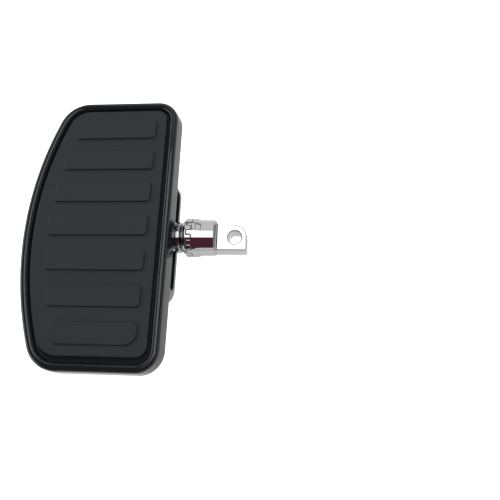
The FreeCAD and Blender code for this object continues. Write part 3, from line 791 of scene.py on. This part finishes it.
class FLOORBOARD_OT_stage(bpy.types.Operator):
    """Pale floor, soft lights, the camera, and dark, maroon and pale cards that only reflections see"""
    bl_idname = "floorboard.stage"
    bl_label = "Stage"

    def execute(self, context):
        scene = context.scene
        look = scene.floorboard_stage
        scene.view_settings.view_transform = "Standard"
        self.floor(look)
        self.world(scene, look)
        self.softbox("overhead_softbox", OVERHEAD_PLACE, OVERHEAD_AIM, OVERHEAD_SIZE, look.softbox)
        side = self.softbox("side_softbox", SIDE_PLACE, SIDE_AIM, SIDE_SIZE, look.side_light)
        side.visible_glossy = False
        for name, tint, height, corners in LEVEL_CARDS:
            self.card(name, [(x, y, height) for x, y in corners], tint)
        self.card("left_card", [(LEFT_CARD_X, y, z) for y, z in LEFT_CARD_CORNERS], LEFT_CARD_COLOUR)
        self.camera(scene, look)
        return {"FINISHED"}

    def floor(self, look):
        """A floor that glows a little, shows white to the camera and is clear from below."""
        mesh = bpy.data.meshes.new("floor")
        corners = [(-FLOOR_REACH, -FLOOR_REACH), (FLOOR_REACH, -FLOOR_REACH),
                   (FLOOR_REACH, FLOOR_REACH), (-FLOOR_REACH, FLOOR_REACH)]
        mesh.from_pydata([(x, y, -look.floor_depth) for x, y in corners], [], [(0, 1, 2, 3)])
        floor = bpy.data.objects.new("floor", mesh)
        bpy.context.scene.collection.objects.link(floor)
        material = bpy.data.materials.new("pale_floor")
        material.use_nodes = True
        tree = material.node_tree
        shader = tree.nodes["Principled BSDF"]
        shader.inputs["Base Color"].default_value = FLOOR_WHITE
        shader.inputs["Roughness"].default_value = FLOOR_ROUGHNESS
        path = tree.nodes.new("ShaderNodeLightPath")
        level = tree.nodes.new("ShaderNodeMath")
        level.operation = "MULTIPLY_ADD"
        level.inputs[1].default_value = FLOOR_SHOWN
        level.inputs[2].default_value = FLOOR_GLOW
        tree.links.new(path.outputs["Is Camera Ray"], level.inputs[0])
        white = node(tree, "ShaderNodeEmission", Color=(1, 1, 1, 1))
        tree.links.new(level.outputs[0], white.inputs["Strength"])
        both = tree.nodes.new("ShaderNodeAddShader")
        tree.links.new(shader.outputs[0], both.inputs[0])
        tree.links.new(white.outputs[0], both.inputs[1])
        below = tree.nodes.new("ShaderNodeMixShader")
        side = tree.nodes.new("ShaderNodeNewGeometry")
        clear = tree.nodes.new("ShaderNodeBsdfTransparent")
        tree.links.new(side.outputs["Backfacing"], below.inputs["Fac"])
        tree.links.new(both.outputs[0], below.inputs[1])
        tree.links.new(clear.outputs[0], below.inputs[2])
        tree.links.new(below.outputs[0], tree.nodes["Material Output"].inputs["Surface"])
        mesh.materials.append(material)

    def seen(self, tree):
        """A factor of 1 for rays from the camera, from gloss and through glass."""
        path = tree.nodes.new("ShaderNodeLightPath")
        factor = path.outputs["Is Camera Ray"]
        for ray in ("Is Glossy Ray", "Is Transmission Ray"):
            either = tree.nodes.new("ShaderNodeMath")
            either.operation = "MAXIMUM"
            tree.links.new(factor, either.inputs[0])
            tree.links.new(path.outputs[ray], either.inputs[1])
            factor = either.outputs[0]
        return factor

    def world(self, scene, look):
        """A white room that lights matt surfaces with less than it shows."""
        world = bpy.data.worlds.new("studio")
        scene.world = world
        world.use_nodes = True
        tree = world.node_tree
        room = tree.nodes["Background"]
        room.inputs["Color"].default_value = (1, 1, 1, 1)
        room.inputs["Strength"].default_value = look.ambient
        white = node(tree, "ShaderNodeBackground", Color=(1, 1, 1, 1), Strength=1.0)
        mix = tree.nodes.new("ShaderNodeMixShader")
        tree.links.new(self.seen(tree), mix.inputs["Fac"])
        tree.links.new(room.outputs[0], mix.inputs[1])
        tree.links.new(white.outputs[0], mix.inputs[2])
        tree.links.new(mix.outputs[0], tree.nodes["World Output"].inputs["Surface"])

    def softbox(self, name, place, aim, size, power):
        lamp = bpy.data.lights.new(name, "AREA")
        lamp.shape = "RECTANGLE"
        lamp.size, lamp.size_y = size
        lamp.energy = power
        obj = bpy.data.objects.new(name, lamp)
        obj.location = place
        obj.rotation_euler = (Vector(aim) - Vector(place)).to_track_quat("-Z", "Y").to_euler()
        obj.visible_camera = False
        bpy.context.scene.collection.objects.link(obj)
        return obj

    def card(self, name, corners, tint):
        """A flat studio card of one colour, seen only in reflections."""
        mesh = bpy.data.meshes.new(name)
        mesh.from_pydata(corners, [], [tuple(range(len(corners)))])
        obj = bpy.data.objects.new(name, mesh)
        bpy.context.scene.collection.objects.link(obj)
        material = bpy.data.materials.new(name)
        material.use_nodes = True
        tree = material.node_tree
        tree.nodes.remove(tree.nodes["Principled BSDF"])
        glow = node(tree, "ShaderNodeEmission", Color=(*tint, 1), Strength=1.0)
        tree.links.new(glow.outputs[0], tree.nodes["Material Output"].inputs["Surface"])
        mesh.materials.append(material)
        for setting in ("visible_camera", "visible_diffuse", "visible_shadow", "visible_transmission"):
            setattr(obj, setting, False)

    def camera(self, scene, look):
        """The photograph's camera: the turns and the place come from the measured view of the board."""
        lens = bpy.data.cameras.new("camera")
        lens.sensor_width = 36.0
        lens.lens = look.lens
        obj = bpy.data.objects.new("camera", lens)
        scene.collection.objects.link(obj)
        turn_x, turn_y, turn_z = CAMERA_TURNS
        turn = (Matrix.Rotation(turn_z, 3, "Z") @ Matrix.Rotation(turn_y, 3, "Y")
                @ Matrix.Rotation(turn_x, 3, "X"))
        place = turn.transposed() @ -(Vector(CAMERA_SHIFT) * MM)
        obj.matrix_world = Matrix.Translation(place) @ turn.transposed().to_4x4()
        scene.camera = obj


# Add-on

class FLOORBOARD_PT_panel(bpy.types.Panel):
    bl_label = "Floorboard"
    bl_idname = "FLOORBOARD_PT_panel"
    bl_space_type = "VIEW_3D"
    bl_region_type = "UI"
    bl_category = "Floorboard"

    def draw(self, context):
        for operator in OPERATORS:
            self.layout.operator(operator.bl_idname)
        for group in GROUPS:
            settings = getattr(context.scene, group)
            column = self.layout.column()
            for name in settings.bl_rna.properties.keys():
                if name not in ("rna_type", "name"):
                    column.prop(settings, name)


OPERATORS = [FLOORBOARD_OT_plain_pieces, FLOORBOARD_OT_deck_pan, FLOORBOARD_OT_tread_pad,
             FLOORBOARD_OT_mount_bracket, FLOORBOARD_OT_spacer_ring, FLOORBOARD_OT_index_collar,
             FLOORBOARD_OT_peg_mount, FLOORBOARD_OT_stage]
GROUPS = {"floorboard_sizes": FLOORBOARD_PG_sizes, "floorboard_finish": FLOORBOARD_PG_finish,
          "floorboard_stage": FLOORBOARD_PG_stage}


def register():
    for cls in [*GROUPS.values(), *OPERATORS, FLOORBOARD_PT_panel]:
        bpy.utils.register_class(cls)
    for name, cls in GROUPS.items():
        setattr(bpy.types.Scene, name, bpy.props.PointerProperty(type=cls))


def unregister():
    for name in GROUPS:
        delattr(bpy.types.Scene, name)
    for cls in reversed([*GROUPS.values(), *OPERATORS, FLOORBOARD_PT_panel]):
        bpy.utils.unregister_class(cls)


def main():
    register()
    for operator in OPERATORS:
        getattr(bpy.ops.floorboard, operator.bl_idname.partition(".")[2])()
    bpy.context.view_layer.update()


if __name__ == "__main__":
    main()
